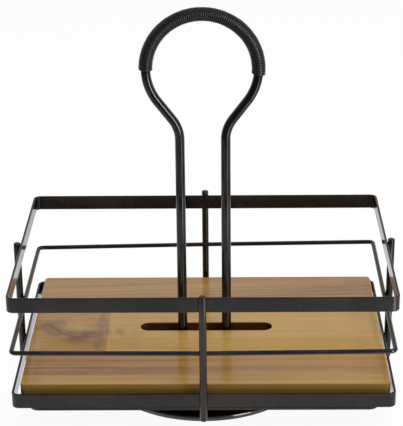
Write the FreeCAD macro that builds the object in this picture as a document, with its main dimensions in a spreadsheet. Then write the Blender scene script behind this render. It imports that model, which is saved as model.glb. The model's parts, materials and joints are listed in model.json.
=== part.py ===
import FreeCAD, Part
import math
import os
import re
import Sketcher
from FreeCAD import Placement, Rotation, Vector

# A rotating caddy: a flat-bar basket with a loose wood board turns on a ball bearing over a round
# foot.  The origin is on the table, on the bearing's axis.  +X runs along the basket, +Z is up.

doc = FreeCAD.newDocument("TurntableCaddy")

# Driving dimensions: millimetres, or degrees where the note says so.
DIMENSIONS = [
    ("bandLength", 312, "both bands: outer length"),
    ("bandDepth", 216, "both bands: outer depth"),
    ("bandHeight", 12.7, "flat bar: height"),
    ("bandThickness", 2, "flat bar: thickness"),
    ("bandCorner", 6, "flat bar: outer radius of each bend"),
    ("bandEdge", 0.4, "flat bar: rounding of the long edges"),
    ("topBandLift", 86, "top band's lower edge above the base plate"),
    ("railLift", 50.4, "middle rail's axis above the base plate, at its middle"),
    ("railTilt", 0.6, "middle rail: rise towards +X, degrees"),
    ("railDiameter", 3.8, "middle rail: wire"),
    ("uprightDiameter", 6, "uprights: wire"),
    ("uprightAbove", 3, "uprights: end above the top band"),
    ("uprightBelow", 10, "uprights: end below the bottom band"),
    ("uprightRounding", 0.8, "uprights: rounding of the cut ends"),
    ("leftUprightDrop", 2.5, "left upright: welded this much lower than the others"),
    ("weldGap", 0.02, "between a wire and the bar that it is welded to"),
    ("plateInset", 14, "base plate's end inside the band's end"),
    ("plateThickness", 2, "base plate: sheet"),
    ("plateCorner", 8, "base plate: corner radius"),
    ("boardClearance", 1.8, "board to the innermost of the bands and rail, each side, when it is centred"),
    ("boardShift", 1.4, "board: how far it lies off centre towards +X"),
    ("boardThickness", 19, "board: thickness"),
    ("boardCorner", 4, "board: corner radius"),
    ("boardEdge", 1, "board: rounding of the top and bottom edges"),
    ("slotSideClearance", 1.5, "slot to the grip, each side"),
    ("slotOffset", 1.1, "slot: off the board's middle towards +Y"),
    ("slotEndClearance", 4.9, "slot's end to the loop, each end"),
    ("rodDiameter", 8, "handle: rod"),
    ("legSpacing", 38, "handle: between the legs' axes"),
    ("loopRadius", 46, "handle: loop, to the rod's axis"),
    ("loopLift", 253, "handle: loop's centre above the base plate"),
    ("neckAngle", 37, "handle: neck from the vertical, degrees"),
    ("neckBend", 29, "handle: radius of the bend from leg to neck"),
    ("cordDiameter", 1.9, "grip: cord"),
    ("gripLeftEnd", 181.5, "grip: left end round the loop from +X, degrees"),
    ("gripRightEnd", 6.5, "grip: right end below +X, degrees"),
    ("screwDiameter", 4, "handle screws: thread"),
    ("screwGrip", 12, "handle screws: length inside the rod"),
    ("tapRunout", 1, "rod's tapped holes beyond the screws' ends"),
    ("screwHead", 7.6, "handle screws: head diameter"),
    ("screwHeadHeight", 2.6, "handle screws: head height"),
    ("screwSocket", 2.5, "handle screws: hexagon socket across flats"),
    ("socketDepth", 1.4, "handle screws: depth of the socket"),
    ("holeClearance", 0.1, "bolt or rivet in its hole, on the radius"),
    ("washerDiameter", 9, "handle washers: outer diameter"),
    ("washerThickness", 0.8, "handle and pivot washers: thickness"),
    ("footRadius", 87, "foot disc: outer radius"),
    ("footSheet", 1.5, "foot disc: sheet"),
    ("footStand", 1.5, "foot disc's rim above the table"),
    ("footRim", 4.5, "foot disc: height of the rim"),
    ("footShoulder", 2.4, "foot disc: rounding of the rim's shoulder"),
    ("footDish", 9.5, "foot disc: rise from the rim to the raised middle"),
    ("footConeAngle", 36, "foot disc: slope of the rise, degrees"),
    ("footMiddle", 60, "foot disc: radius of the raised middle"),
    ("padRadius", 4.5, "rubber pads: radius"),
    ("padCircle", 79, "rubber pads: radius of their circle"),
    ("raceInner", 30, "bearing races: inner radius"),
    ("raceOuter", 56, "bearing races: outer radius"),
    ("raceThickness", 3.25, "bearing races: thickness"),
    ("raceSpacing", 2, "between the two races"),
    ("ballRadius", 2.5, "bearing: balls"),
    ("ballCircle", 42, "bearing: radius of the balls' circle"),
    ("ballClearance", 0.2, "ball to the groove, on the radius"),
    ("cageThickness", 1, "ball cage: sheet"),
    ("cageMargin", 3.5, "ball cage: sheet on each side of a ball"),
    ("rivetRadius", 1.5, "race rivets: shank radius"),
    ("rivetCircle", 51, "race rivets: radius of their circle"),
    ("rivetHead", 2.8, "race rivets: head radius"),
    ("rivetHeadHeight", 1.2, "race rivets: head height"),
    ("pivotRadius", 4, "centre pivot: shank radius"),
    ("pivotClearance", 0.05, "centre pivot in the foot disc, on the radius"),
    ("pivotHead", 8, "centre pivot: head radius"),
    ("pivotHeadHeight", 2, "centre pivot: head height"),
    ("pivotPlay", 0.3, "centre pivot: play under the foot disc"),
]
BALL_COUNT = 12
RIVET_COUNT = 4
PAD_COUNT = 4

sheet = doc.addObject("Spreadsheet::Sheet", "Dimensions")
for row, (alias, value, note) in enumerate(DIMENSIONS, start=1):
    sheet.set(f"A{row}", note)
    sheet.set(f"B{row}", str(value))
    sheet.setAlias(f"B{row}", alias)
doc.recompute()

size = {alias: value for alias, value, note in DIMENSIONS}
aliasPattern = re.compile(r"\b(" + "|".join(size) + r")\b")

# Heights and widths that several pieces share, as expressions of the sheet's values.
footTop = "(footStand + footRim)"
middleTop = "(footStand + footRim + footDish)"
raceStack = "(2 * raceThickness + raceSpacing)"
plateBottom = f"({middleTop} + {raceStack})"
plateTop = f"({plateBottom} + plateThickness)"
ballHeight = f"({middleTop} + raceThickness + raceSpacing / 2)"
topBandTop = f"({plateTop} + topBandLift + bandHeight)"
gripRadius = "(rodDiameter / 2 + cordDiameter)"
screwHole = "(screwDiameter / 2 + holeClearance)"
rivetHole = "(rivetRadius + holeClearance)"
boardInset = "(max(bandThickness; railDiameter) + boardClearance)"
footSlopeShift = "(footSheet * tan(footConeAngle / 2 * 1 deg))"


# ---------------------------------------------------------------- helpers

def onSheet(expression):
    """The expression with every dimension's name pointing at its cell."""
    return aliasPattern.sub(r"Dimensions.\1", expression)


def bind(item, **expressions):
    for name, expression in expressions.items():
        item.setExpression(name, onSheet(expression))
    return item


def place(item, x="0", y="0", z="0"):
    for axis, expression in zip("xyz", (x, y, z)):
        if expression != "0":
            item.setExpression(f"Placement.Base.{axis}", onSheet(expression))
    return item


def cylinder(name, radius, height, x="0", y="0", z="0"):
    item = bind(doc.addObject("Part::Cylinder", name), Radius=radius, Height=height)
    return place(item, x, y, z)


def cone(name, lowRadius, highRadius, height, x="0", y="0", z="0"):
    item = bind(doc.addObject("Part::Cone", name), Radius1=lowRadius, Radius2=highRadius, Height=height)
    return place(item, x, y, z)


def cut(name, base, *tools):
    for step, tool in enumerate(tools, start=1):
        last = step == len(tools)
        item = doc.addObject("Part::Cut", name if last else f"{name}_step{step}")
        item.Base, item.Tool = base, tool
        base = item
    return base


def fuse(name, *shapes):
    item = doc.addObject("Part::MultiFuse", name)
    item.Shapes = list(shapes)
    item.Refine = True
    return item


def newBody(name):
    return doc.addObject("PartDesign::Body", name)


def newSketch(body, name, role="XY_Plane", lift=None):
    sketch = body.newObject("Sketcher::SketchObject", name)
    plane = next(item for item in body.Origin.OriginFeatures if item.Role == role)
    sketch.AttachmentSupport = (plane, [""])
    sketch.MapMode = "FlatFace"
    if lift:
        sketch.setExpression("AttachmentOffset.Base.z", onSheet(lift))
    return sketch


def dimension(sketch, kind, references, expression):
    """A driving constraint: it starts at the drawn size, then takes its value from the sheet."""
    if kind == "Radius":
        drawn = sketch.Geometry[references[0]].Radius
    else:
        start, end = sketch.getPoint(*references[:2]), sketch.getPoint(*references[2:])
        drawn = end.x - start.x if kind == "DistanceX" else end.y - start.y
    index = sketch.addConstraint(Sketcher.Constraint(kind, *references, drawn))
    sketch.setExpression(f"Constraints[{index}]", onSheet(expression))


def constrain(sketch, kind, *references):
    sketch.addConstraint(Sketcher.Constraint(kind, *references))


def roundedRectangle(sketch, halfLength, halfDepth, corner, drawn):
    """Centred on the sketch's origin and drawn at the half length, half depth and radius in drawn."""
    a, b, r = drawn
    first = sketch.GeometryCount
    corners = [(a - r, b - r, 0), (r - a, b - r, 90), (r - a, r - b, 180), (a - r, r - b, 270)]
    sides = [((a, r - b), (a, b - r)), ((a - r, b), (r - a, b)),
             ((-a, b - r), (-a, r - b)), ((r - a, -b), (a - r, -b))]
    for side, arc in zip(sides, corners):
        start, end = (Vector(x, y, 0) for x, y in side)
        sketch.addGeometry(Part.LineSegment(start, end))
        circle = Part.Circle(Vector(arc[0], arc[1], 0), Vector(0, 0, 1), r)
        angle = math.radians(arc[2])
        sketch.addGeometry(Part.ArcOfCircle(circle, angle, angle + math.pi / 2))
    for index in range(4):
        line, arc = first + 2 * index, first + 2 * index + 1
        following = first + (2 * index + 2) % 8
        constrain(sketch, "Tangent", line, 2, arc, 1)
        constrain(sketch, "Tangent", arc, 2, following, 1)
        constrain(sketch, "Horizontal" if index % 2 else "Vertical", line)
        if index:
            constrain(sketch, "Equal", first + 1, arc)
    dimension(sketch, "Radius", [first + 1], corner)
    dimension(sketch, "DistanceX", [-1, 1, first, 1], halfLength)
    dimension(sketch, "DistanceX", [first + 4, 1, -1, 1], halfLength)
    dimension(sketch, "DistanceY", [-1, 1, first + 2, 1], halfDepth)
    dimension(sketch, "DistanceY", [first + 6, 1, -1, 1], halfDepth)


def roundHole(sketch, radius, x="0", y="0"):
    """A circle, drawn anywhere near the origin: its constraints put it in its place."""
    circle = sketch.addGeometry(Part.Circle(Vector(1, 1, 0), Vector(0, 0, 1), 1))
    dimension(sketch, "Radius", [circle], radius)
    for kind, expression, axis in (("DistanceX", x, -2), ("DistanceY", y, -1)):
        if expression == "0":
            constrain(sketch, "PointOnObject", circle, 3, axis)
        else:
            dimension(sketch, kind, [-1, 1, circle, 3], expression)


def profile(sketch, corners):
    """A closed outline through corners given as (distance from the axis, height).

    It is drawn as a regular polygon, which its constraints then pull into place.
    """
    count = len(corners)
    turns = [2 * math.pi * step / count for step in range(count)]
    drawn = [Vector(2 + math.cos(turn), 2 + math.sin(turn), 0) for turn in turns]
    for step in range(count):
        sketch.addGeometry(Part.LineSegment(drawn[step], drawn[(step + 1) % count]))
    for step, (across, up) in enumerate(corners):
        constrain(sketch, "Coincident", step, 2, (step + 1) % count, 1)
        dimension(sketch, "DistanceX", [-1, 1, step, 1], across)
        dimension(sketch, "DistanceY", [-1, 1, step, 1], up)


def pad(body, sketch, name, length):
    feature = body.newObject("PartDesign::Pad", name)
    feature.Profile = sketch
    return bind(feature, Length=length)


def pocket(body, sketch, name, depth, upward=True):
    """Cuts from the sketch's plane, upward where the solid lies above it."""
    feature = body.newObject("PartDesign::Pocket", name)
    feature.Profile = sketch
    feature.Reversed = upward
    return bind(feature, Length=depth)


def fillet(body, feature, name, radius, edges):
    rounding = body.newObject("PartDesign::Fillet", name)
    rounding.Base = (feature, edges)
    return bind(rounding, Radius=radius)


def levelEdges(feature):
    """The names of the edges that lie level, at the top and bottom of a plate or ring."""
    doc.recompute()
    names = []
    for index, edge in enumerate(feature.Shape.Edges, start=1):
        if edge.BoundBox.ZLength < 1e-6:
            names.append(f"Edge{index}")
    return names


# ---------------------------------------------------------------- basket

def band(name, bottom):
    body = newBody(name)
    outline = newSketch(body, f"{name}_outline", lift=bottom)
    halfLength, halfDepth, corner = size["bandLength"] / 2, size["bandDepth"] / 2, size["bandCorner"]
    bar = size["bandThickness"]
    roundedRectangle(outline, "bandLength / 2", "bandDepth / 2", "bandCorner",
                     (halfLength, halfDepth, corner))
    roundedRectangle(outline, "bandLength / 2 - bandThickness", "bandDepth / 2 - bandThickness",
                     "bandCorner - bandThickness", (halfLength - bar, halfDepth - bar, corner - bar))
    ring = pad(body, outline, f"{name}_bar", "bandHeight")
    fillet(body, ring, f"{name}_edges", "bandEdge", levelEdges(ring))
    return body


def middleRail():
    """The wire's outer side is flush with the bands' outer faces, so the uprights touch all three."""
    body = newBody("middle_rail")
    path = newSketch(body, "middle_rail_path")
    inset = size["railDiameter"] / 2
    drawn = (size["bandLength"] / 2 - inset, size["bandDepth"] / 2 - inset, size["bandCorner"] - inset)
    roundedRectangle(path, "(bandLength - railDiameter) / 2", "(bandDepth - railDiameter) / 2",
                     "bandCorner - railDiameter / 2", drawn)
    section = newSketch(body, "middle_rail_section", "XZ_Plane")
    roundHole(section, "railDiameter / 2", "(bandLength - railDiameter) / 2")
    wire = body.newObject("PartDesign::AdditivePipe", "middle_rail_wire")
    wire.Profile = section
    wire.Spine = (path, [f"Edge{number}" for number in range(1, 9)])
    body.setExpression("Placement.Rotation", onSheet("rotation(vector(0; 1; 0); -railTilt)"))
    return place(body, z=f"{plateTop} + railLift")


def upright(name, x, y, drop="0"):
    body = newBody(name)
    section = newSketch(body, f"{name}_section", lift=f"{plateTop} - uprightBelow - {drop}")
    roundHole(section, "uprightDiameter / 2", x, y)
    wire = pad(body, section, f"{name}_wire", "topBandLift + bandHeight + uprightAbove + uprightBelow")
    fillet(body, wire, f"{name}_ends", "uprightRounding", levelEdges(wire))
    return body


def basePlate():
    body = newBody("base_plate")
    outline = newSketch(body, "base_plate_outline", lift=plateBottom)
    drawn = (size["bandLength"] / 2 - size["plateInset"], size["bandDepth"] / 2, size["plateCorner"])
    roundedRectangle(outline, "bandLength / 2 - plateInset", "bandDepth / 2", "plateCorner", drawn)
    roundHole(outline, "pivotRadius")
    roundHole(outline, screwHole, x="legSpacing / 2")
    roundHole(outline, screwHole, x="-legSpacing / 2")
    pad(body, outline, "base_plate_sheet", "plateThickness")
    return body


# ---------------------------------------------------------------- board

def woodBoard():
    """Its slot is longer than the loop and wider than the grip, so it lifts off over the handle."""
    body = newBody("wood_board")
    outline = newSketch(body, "wood_board_outline", lift=plateTop)
    margin = max(size["bandThickness"], size["railDiameter"]) + size["boardClearance"]
    drawn = (size["bandLength"] / 2 - margin, size["bandDepth"] / 2 - margin, size["boardCorner"])
    roundedRectangle(outline, f"bandLength / 2 - {boardInset}", f"bandDepth / 2 - {boardInset}",
                     "boardCorner", drawn)
    board = pad(body, outline, "wood_board_blank", "boardThickness")
    slotOutline = newSketch(body, "wood_board_slot_outline", lift=plateTop)
    slotOutline.setExpression("AttachmentOffset.Base.y", onSheet("slotOffset"))
    slotRadius = f"({gripRadius} + slotSideClearance)"
    straightHalf = f"(loopRadius + {gripRadius} + slotEndClearance - {slotRadius})"
    drawnRadius = size["rodDiameter"] / 2 + size["cordDiameter"] + size["slotSideClearance"]
    drawnHalf = size["loopRadius"]
    obround(slotOutline, straightHalf, slotRadius, drawnHalf, drawnRadius)
    slotted = pocket(body, slotOutline, "wood_board_slot", "boardThickness")
    doc.recompute()
    if slotted.Shape.Volume >= board.Shape.Volume:
        raise RuntimeError("the board's slot cuts nothing")
    fillet(body, slotted, "wood_board_edges", "boardEdge", levelEdges(slotted))
    return place(body, x="boardShift")


def obround(sketch, straightHalf, radius, drawnHalf, drawnRadius):
    up = Vector(0, 0, 1)
    right = Part.Circle(Vector(drawnHalf, 0, 0), up, drawnRadius)
    left = Part.Circle(Vector(-drawnHalf, 0, 0), up, drawnRadius)
    back = Vector(drawnHalf, drawnRadius, 0), Vector(-drawnHalf, drawnRadius, 0)
    front = Vector(-drawnHalf, -drawnRadius, 0), Vector(drawnHalf, -drawnRadius, 0)
    sketch.addGeometry(Part.ArcOfCircle(right, -math.pi / 2, math.pi / 2))
    sketch.addGeometry(Part.LineSegment(*back))
    sketch.addGeometry(Part.ArcOfCircle(left, math.pi / 2, 3 * math.pi / 2))
    sketch.addGeometry(Part.LineSegment(*front))
    for current in range(4):
        constrain(sketch, "Tangent", current, 2, (current + 1) % 4, 1)
    constrain(sketch, "Equal", 0, 2)
    constrain(sketch, "PointOnObject", 0, 3, -1)
    constrain(sketch, "PointOnObject", 2, 3, -1)
    dimension(sketch, "Radius", [0], radius)
    dimension(sketch, "DistanceX", [-1, 1, 0, 3], straightHalf)
    dimension(sketch, "DistanceX", [2, 3, -1, 1], straightHalf)


# ---------------------------------------------------------------- handle

def handlePath(body):
    """Left leg, left bend, left neck, loop, right neck, right bend and right leg, in the XZ plane."""
    path = newSketch(body, "handle_path", "XZ_Plane")
    foot = size["footStand"] + size["footRim"] + size["footDish"]
    foot += 2 * size["raceThickness"] + size["raceSpacing"] + size["plateThickness"]
    leg, bend, loop = size["legSpacing"] / 2, size["neckBend"], size["loopRadius"]
    centre = foot + size["loopLift"]
    neck = math.radians(size["neckAngle"])
    neckTop = Vector(loop * math.cos(neck), centre - loop * math.sin(neck), 0)
    bendTopX = leg + bend * (1 - math.cos(neck))
    bendTop = Vector(bendTopX, neckTop.y - (neckTop.x - bendTopX) / math.tan(neck), 0)
    bendLow = Vector(leg, bendTop.y - bend * math.sin(neck), 0)
    upAxis = Vector(0, 0, 1)

    def mirrored(point):
        return Vector(-point.x, point.y, 0)

    path.addGeometry(Part.LineSegment(Vector(-leg, foot, 0), mirrored(bendLow)))
    leftBend = Part.Circle(Vector(-leg - bend, bendLow.y, 0), upAxis, bend)
    path.addGeometry(Part.ArcOfCircle(leftBend, 0, neck))
    path.addGeometry(Part.LineSegment(mirrored(bendTop), mirrored(neckTop)))
    path.addGeometry(Part.ArcOfCircle(Part.Circle(Vector(0, centre, 0), upAxis, loop), -neck, math.pi + neck))
    path.addGeometry(Part.LineSegment(neckTop, bendTop))
    rightBend = Part.Circle(Vector(leg + bend, bendLow.y, 0), upAxis, bend)
    path.addGeometry(Part.ArcOfCircle(rightBend, math.pi - neck, math.pi))
    path.addGeometry(Part.LineSegment(bendLow, Vector(leg, foot, 0)))
    joints = [(0, 2, 1, 1), (1, 2, 2, 1), (2, 2, 3, 2), (3, 1, 4, 1), (4, 2, 5, 1), (5, 2, 6, 1)]
    for joint in joints:
        constrain(path, "Tangent", *joint)
    constrain(path, "Vertical", 0)
    constrain(path, "Vertical", 6)
    constrain(path, "Equal", 1, 5)
    constrain(path, "PointOnObject", 3, 3, -2)
    dimension(path, "Radius", [1], "neckBend")
    dimension(path, "Radius", [3], "loopRadius")
    dimension(path, "DistanceY", [-1, 1, 3, 3], f"{plateTop} + loopLift")
    dimension(path, "DistanceY", [-1, 1, 0, 1], plateTop)
    dimension(path, "DistanceY", [-1, 1, 6, 2], plateTop)
    dimension(path, "DistanceX", [0, 1, -1, 1], "legSpacing / 2")
    dimension(path, "DistanceX", [-1, 1, 6, 2], "legSpacing / 2")
    return path


def handleRod():
    body = newBody("handle_rod")
    path = handlePath(body)
    section = newSketch(body, "handle_section", lift=plateTop)
    roundHole(section, "rodDiameter / 2", x="-legSpacing / 2")
    rod = body.newObject("PartDesign::AdditivePipe", "handle_rod_bent")
    rod.Profile = section
    rod.Spine = (path, [f"Edge{number}" for number in range(1, 8)])
    tapped = newSketch(body, "handle_tapped_outline", lift=plateTop)
    roundHole(tapped, screwHole, x="legSpacing / 2")
    roundHole(tapped, screwHole, x="-legSpacing / 2")
    holes = pocket(body, tapped, "handle_tapped_holes", "screwGrip + tapRunout")
    doc.recompute()
    if holes.Shape.Volume >= rod.Shape.Volume:
        raise RuntimeError("the handle's tapped holes cut nothing")
    return body


def gripWrap():
    """The wound cord as one sleeve: a sector of a torus round the loop's rod."""
    outer = doc.addObject("Part::Torus", "grip_outer")
    inner = doc.addObject("Part::Torus", "grip_bore")
    for ring, radius in ((outer, gripRadius), (inner, "rodDiameter / 2 + weldGap")):
        bind(ring, Radius1="loopRadius", Radius2=radius)
        ring.Placement = Placement(Vector(0, 0, 0), Rotation(Vector(1, 0, 0), 90))
        place(ring, z=f"{plateTop} + loopLift")
    bind(outer, Angle3="gripLeftEnd + gripRightEnd")
    outer.setExpression("Placement.Rotation", onSheet(
        "rotation(vector(1; 0; 0); 90) * rotation(vector(0; 0; 1); -gripRightEnd)"))
    return cut("grip_wrap", outer, inner)


def handleScrew(side, x):
    shankLength = "(plateThickness + washerThickness + screwGrip)"
    headBottom = f"{plateBottom} - washerThickness - screwHeadHeight"
    shank = cylinder(f"handle_screw_{side}_shank", "screwDiameter / 2", shankLength, x=x,
                     z=f"{plateBottom} - washerThickness")
    head = cylinder(f"handle_screw_{side}_head", "screwHead / 2", "screwHeadHeight", x=x, z=headBottom)
    socket = bind(doc.addObject("Part::Prism", f"handle_screw_{side}_socket"),
                  Circumradius="screwSocket / sqrt(3)", Height="socketDepth")
    socket.Polygon = 6
    place(socket, x=x, z=headBottom)
    return cut(f"handle_screw_{side}", fuse(f"handle_screw_{side}_blank", shank, head), socket)


def handleWasher(side, x):
    bottom = f"{plateBottom} - washerThickness"
    disc = cylinder(f"handle_washer_{side}_disc", "washerDiameter / 2", "washerThickness", x=x, z=bottom)
    hole = cylinder(f"handle_washer_{side}_hole", screwHole, "washerThickness", x=x, z=bottom)
    return cut(f"handle_washer_{side}", disc, hole)


# ---------------------------------------------------------------- bearing

def race(name, bottom):
    """A flat ring with a round groove for the balls."""
    disc = cylinder(f"{name}_disc", "raceOuter", "raceThickness", z=bottom)
    bore = cylinder(f"{name}_bore", "raceInner", "raceThickness", z=bottom)
    groove = bind(doc.addObject("Part::Torus", f"{name}_groove"), Radius1="ballCircle",
                  Radius2="ballRadius + ballClearance")
    place(groove, z=ballHeight)
    tools = [bore, groove]
    if name == "lower_race":
        for number in range(1, RIVET_COUNT + 1):
            x, y = around("rivetCircle", number, RIVET_COUNT)
            hole = cylinder(f"{name}_hole_{number}", rivetHole, "raceThickness", x, y, bottom)
            sinkBottom = f"{bottom} + raceThickness - rivetHeadHeight"
            sink = cone(f"{name}_sink_{number}", rivetHole, "rivetHead + holeClearance", "rivetHeadHeight",
                        x, y, sinkBottom)
            tools += [hole, sink]
    return cut(name, disc, *tools)


def around(radius, number, count):
    """The place of one of several pieces spread evenly round the axis, the first half a step from +X."""
    angle = f"{(number - 0.5) * 360 / count} deg"
    return f"{radius} * cos({angle})", f"{radius} * sin({angle})"


def ballCage():
    body = newBody("ball_cage")
    outline = newSketch(body, "ball_cage_outline", lift=f"{ballHeight} - cageThickness / 2")
    roundHole(outline, "ballCircle + ballRadius + cageMargin")
    roundHole(outline, "ballCircle - ballRadius - cageMargin")
    ring = pad(body, outline, "ball_cage_ring", "cageThickness")
    holeOutline = newSketch(body, "ball_cage_hole_outline", lift=f"{ballHeight} - cageThickness / 2")
    roundHole(holeOutline, "ballRadius + ballClearance", *around("ballCircle", 1, BALL_COUNT))
    hole = pocket(body, holeOutline, "ball_cage_hole", "cageThickness")
    doc.recompute()
    if hole.Shape.Volume >= ring.Shape.Volume:
        raise RuntimeError("the cage's hole cuts nothing")
    holes = body.newObject("PartDesign::PolarPattern", "ball_cage_holes")
    holes.Originals = [hole]
    holes.Axis = (outline, ["N_Axis"])
    holes.Angle = 360
    holes.Occurrences = BALL_COUNT
    body.Tip = holes
    return body


def ball(number):
    x, y = around("ballCircle", number, BALL_COUNT)
    item = bind(doc.addObject("Part::Sphere", f"ball_{number:02d}"), Radius="ballRadius")
    return place(item, x, y, ballHeight)


def raceRivet(number):
    """Countersunk flush in the lower race, with a flat head under the foot disc."""
    x, y = around("rivetCircle", number, RIVET_COUNT)
    low = f"({middleTop} - footSheet)"
    name = f"race_rivet_{number}"
    shank = cylinder(f"{name}_shank", "rivetRadius", "footSheet + raceThickness", x, y, low)
    sunk = cone(f"{name}_sunk", "rivetRadius", "rivetHead", "rivetHeadHeight", x, y,
                f"{middleTop} + raceThickness - rivetHeadHeight")
    head = cylinder(f"{name}_head", "rivetHead", "rivetHeadHeight", x, y, f"{low} - rivetHeadHeight")
    return fuse(name, shank, sunk, head)


def centrePivot():
    """Peened flush into the base plate; its head and washer turn under the foot disc."""
    underFoot = f"({middleTop} - footSheet - pivotPlay - washerThickness)"
    shank = cylinder("centre_pivot_shank", "pivotRadius", f"{plateTop} - {underFoot}", z=underFoot)
    head = cylinder("centre_pivot_head", "pivotHead", "pivotHeadHeight", z=f"{underFoot} - pivotHeadHeight")
    return fuse("centre_pivot", shank, head)


def pivotWasher():
    bottom = f"({middleTop} - footSheet - pivotPlay - washerThickness)"
    disc = cylinder("pivot_washer_disc", "pivotHead", "washerThickness", z=bottom)
    hole = cylinder("pivot_washer_hole", "pivotRadius + pivotClearance", "washerThickness", z=bottom)
    return cut("pivot_washer", disc, hole)


# ---------------------------------------------------------------- foot

def footDisc():
    """A pressed pan: rim, flat ring, slope and raised middle, all of one sheet."""
    body = newBody("foot_disc")
    section = newSketch(body, "foot_disc_section", "XZ_Plane")
    slopeFoot = "(footMiddle + footDish / tan(footConeAngle * 1 deg))"
    hole = "(pivotRadius + pivotClearance)"
    profile(section, [
        (hole, middleTop), (hole, f"{middleTop} - footSheet"),
        (f"footMiddle - {footSlopeShift}", f"{middleTop} - footSheet"),
        (f"{slopeFoot} - {footSlopeShift}", f"{footTop} - footSheet"),
        ("footRadius - footSheet", f"{footTop} - footSheet"), ("footRadius - footSheet", "footStand"),
        ("footRadius", "footStand"), ("footRadius", footTop),
        (slopeFoot, footTop), ("footMiddle", middleTop),
    ])
    pan = body.newObject("PartDesign::Revolution", "foot_disc_pan")
    pan.Profile = section
    pan.ReferenceAxis = (section, ["V_Axis"])
    pan.Angle = 360
    doc.recompute()
    shoulder = [f"Edge{index}" for index, edge in enumerate(pan.Shape.Edges, start=1)
                if isShoulder(edge)]
    rounded = fillet(body, pan, "foot_disc_shoulder", "footShoulder", shoulder)
    outline = newSketch(body, "foot_disc_rivet_outline", lift=f"{middleTop} - footSheet")
    for number in range(1, RIVET_COUNT + 1):
        roundHole(outline, rivetHole, *around("rivetCircle", number, RIVET_COUNT))
    holes = pocket(body, outline, "foot_disc_rivet_holes", "footSheet")
    doc.recompute()
    if holes.Shape.Volume >= rounded.Shape.Volume:
        raise RuntimeError("the foot disc's rivet holes cut nothing")
    return body


def isShoulder(edge):
    """The outer rim's upper corner."""
    top = size["footStand"] + size["footRim"]
    box = edge.BoundBox
    level = box.ZLength < 1e-6 and abs(box.ZMax - top) < 1e-6
    return level and abs(box.XMax - size["footRadius"]) < 1e-3


def rubberPad(number):
    """Stuck to the underside of the flat ring, inside the rim, and standing proud of it."""
    x, y = around("padCircle", number, PAD_COUNT)
    return cylinder(f"rubber_pad_{number}", "padRadius", f"{footTop} - footSheet", x, y)


# ---------------------------------------------------------------- assembly

wireX = "bandLength / 2 + uprightDiameter / 2 + weldGap"
wireY = "bandDepth / 2 + uprightDiameter / 2 + weldGap"
pieces = [
    band("bottom_band", plateTop),
    band("top_band", f"{plateTop} + topBandLift"),
    middleRail(),
    upright("front_upright", "0", f"-({wireY})"),
    upright("back_upright", "0", wireY),
    upright("left_upright", f"-({wireX})", "0", drop="leftUprightDrop"),
    upright("right_upright", wireX, "0"),
    basePlate(),
    woodBoard(),
    handleRod(),
    gripWrap(),
    handleScrew("left", "-legSpacing / 2"),
    handleScrew("right", "legSpacing / 2"),
    handleWasher("left", "-legSpacing / 2"),
    handleWasher("right", "legSpacing / 2"),
    race("upper_race", f"{middleTop} + raceThickness + raceSpacing"),
    race("lower_race", middleTop),
    ballCage(),
    centrePivot(),
    pivotWasher(),
    footDisc(),
]
pieces += [ball(number) for number in range(1, BALL_COUNT + 1)]
pieces += [raceRivet(number) for number in range(1, RIVET_COUNT + 1)]
pieces += [rubberPad(number) for number in range(1, PAD_COUNT + 1)]

doc.recompute()
for item in doc.Objects:
    if "Invalid" in item.State or "Error" in item.State:
        raise RuntimeError(f"{item.Label} failed: {item.State}")
os.makedirs("parts", exist_ok=True)
for piece in pieces:
    shape = piece.Shape
    if shape.isNull() or not shape.isValid() or len(shape.Solids) != 1:
        raise RuntimeError(f"{piece.Label} has no single valid solid")
    shape.exportStep(f"parts/{piece.Label}.step")
    box = shape.BoundBox
    print(f"{piece.Label:22s} {shape.Volume:10.1f} mm3  x {box.XMin:8.2f} {box.XMax:8.2f}"
          f"  y {box.YMin:8.2f} {box.YMax:8.2f}  z {box.ZMin:8.2f} {box.ZMax:8.2f}")
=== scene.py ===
import json
import math
import bmesh
import bpy
from mathutils import Matrix, Vector, noise


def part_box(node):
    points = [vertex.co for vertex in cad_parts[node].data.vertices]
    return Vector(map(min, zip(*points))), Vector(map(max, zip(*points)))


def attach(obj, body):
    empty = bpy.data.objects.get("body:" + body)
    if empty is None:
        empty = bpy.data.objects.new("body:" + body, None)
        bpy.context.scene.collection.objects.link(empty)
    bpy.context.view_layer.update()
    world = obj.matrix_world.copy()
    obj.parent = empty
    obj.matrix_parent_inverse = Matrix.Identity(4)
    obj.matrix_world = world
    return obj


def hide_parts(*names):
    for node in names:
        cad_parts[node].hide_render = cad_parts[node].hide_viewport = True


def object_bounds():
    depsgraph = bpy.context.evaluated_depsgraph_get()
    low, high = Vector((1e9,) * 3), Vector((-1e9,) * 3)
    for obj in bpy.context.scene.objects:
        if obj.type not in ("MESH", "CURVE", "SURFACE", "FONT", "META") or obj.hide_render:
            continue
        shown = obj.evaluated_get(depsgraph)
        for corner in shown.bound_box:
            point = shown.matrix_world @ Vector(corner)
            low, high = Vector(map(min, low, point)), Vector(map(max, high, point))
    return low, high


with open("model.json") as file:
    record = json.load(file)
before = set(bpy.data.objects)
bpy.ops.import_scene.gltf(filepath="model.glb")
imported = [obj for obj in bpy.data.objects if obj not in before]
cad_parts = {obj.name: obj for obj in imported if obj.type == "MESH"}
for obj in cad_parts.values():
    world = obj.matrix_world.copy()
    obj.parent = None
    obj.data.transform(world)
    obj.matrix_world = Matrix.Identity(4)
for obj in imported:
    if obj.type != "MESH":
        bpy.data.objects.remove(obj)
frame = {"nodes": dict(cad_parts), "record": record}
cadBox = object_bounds()
nodes = frame["nodes"]
scene = bpy.context.scene
scene.view_settings.view_transform = "Standard"
mm = 0.001
inMillimetres = (1 / mm,) * 3  # the scale that takes a place from metres to these
print("frame loaded:", len(nodes), "nodes")


# Camera

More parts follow.
